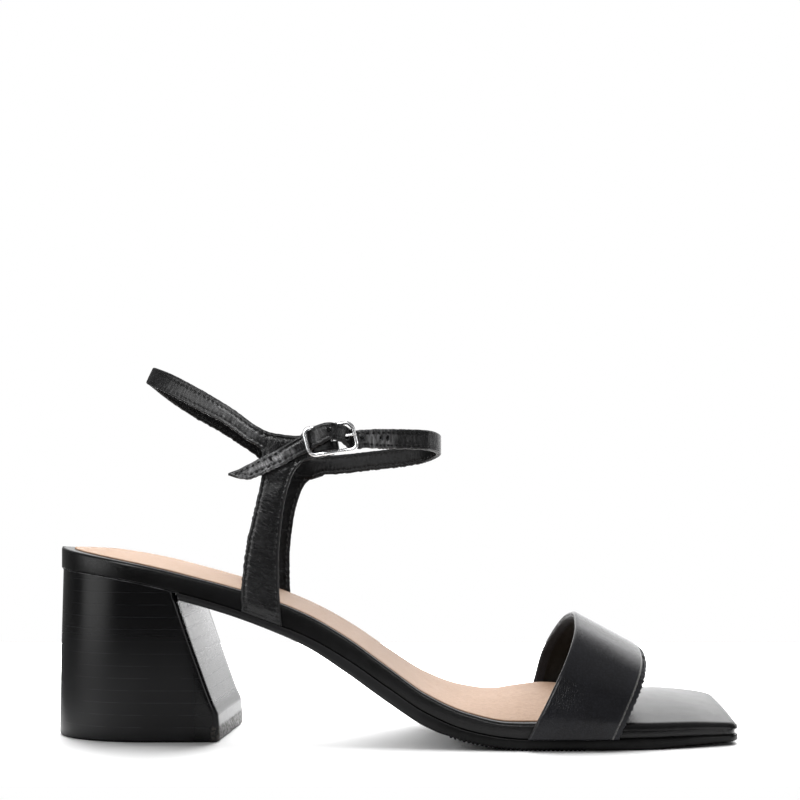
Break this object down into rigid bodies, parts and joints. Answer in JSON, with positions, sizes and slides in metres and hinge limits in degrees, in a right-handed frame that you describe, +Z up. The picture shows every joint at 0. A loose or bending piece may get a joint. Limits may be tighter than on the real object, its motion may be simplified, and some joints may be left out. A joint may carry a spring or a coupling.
{
  "type": "heeled sandal",
  "caption": "Block-heeled sandal for the right foot with a broad toe band, two side posts, a heel strap and a buckled ankle strap.",
  "frame": {"origin": "on the floor, under the middle of the shoe's box", "axes": "+X to the toe, +Y to the medial side, +Z up"},
  "size_m": [0.2411, 0.0886, 0.1328],
  "materials": {
    "upper_leather": "smooth black calf, fine grain, satin",
    "footbed_leather": "black wrap, satin",
    "sock_leather": "bare tan leather, fine grain, matte",
    "heel_stack": "stacked-look black, satin, with fine level lines",
    "sole_rubber": "black, matte",
    "buckle_steel": "polished"
  },
  "bodies": {
    "root": {"outsole": "sole_rubber", "footbed": "footbed_leather", "insole_sock": "sock_leather", "heel_block": "heel_stack", "heel_tip": "sole_rubber", "vamp_strap": "upper_leather", "quarter_strap": "upper_leather", "buckle_frame": "buckle_steel", "buckle_prong": "buckle_steel"}
  },
  "joints": []
}
